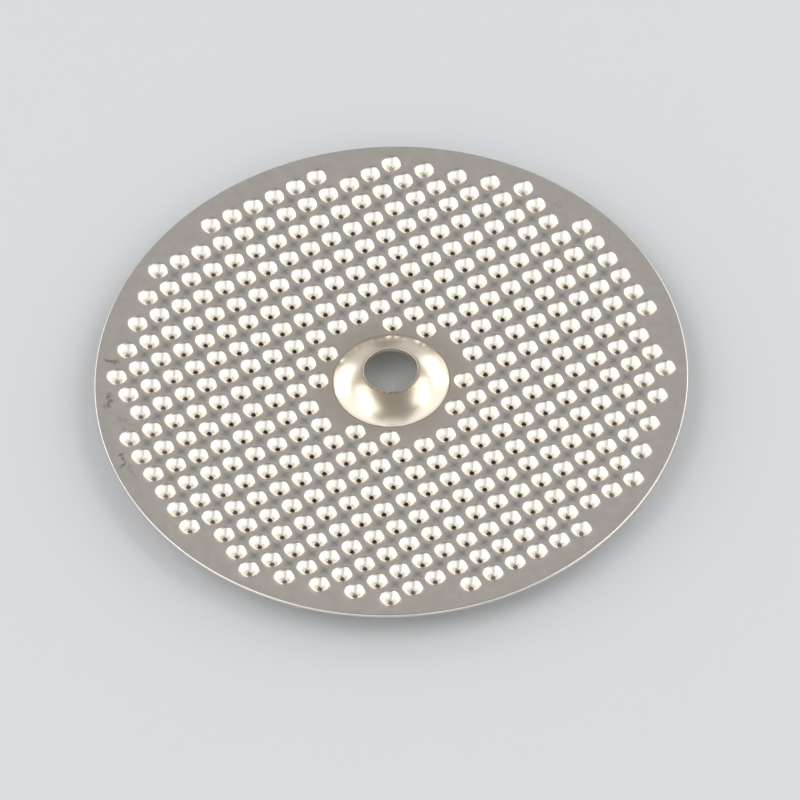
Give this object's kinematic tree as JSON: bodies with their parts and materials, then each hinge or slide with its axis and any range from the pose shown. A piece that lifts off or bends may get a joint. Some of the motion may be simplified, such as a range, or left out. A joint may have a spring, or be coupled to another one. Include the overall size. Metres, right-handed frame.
{
  "type": "brew group filter",
  "caption": "Dished disc of thin stainless sheet with a square field of pierced dimples and a raised screw boss, spreading brew water in a coffee machine's group.",
  "frame": {"origin": "on the disc's axis, at the level of the innermost dimple tips, which the disc rests on", "axes": "+Z along the disc's axis, up out of the dish on the boss's side; X and Y along the rows of dimples"},
  "size_m": [0.038, 0.038, 0.0017],
  "materials": {
    "stainless_sheet": "satin pressed stainless sheet, brighter in the dimples and on the boss"
  },
  "bodies": {
    "root": {"filter_disc": "stainless_sheet"}
  },
  "joints": []
}
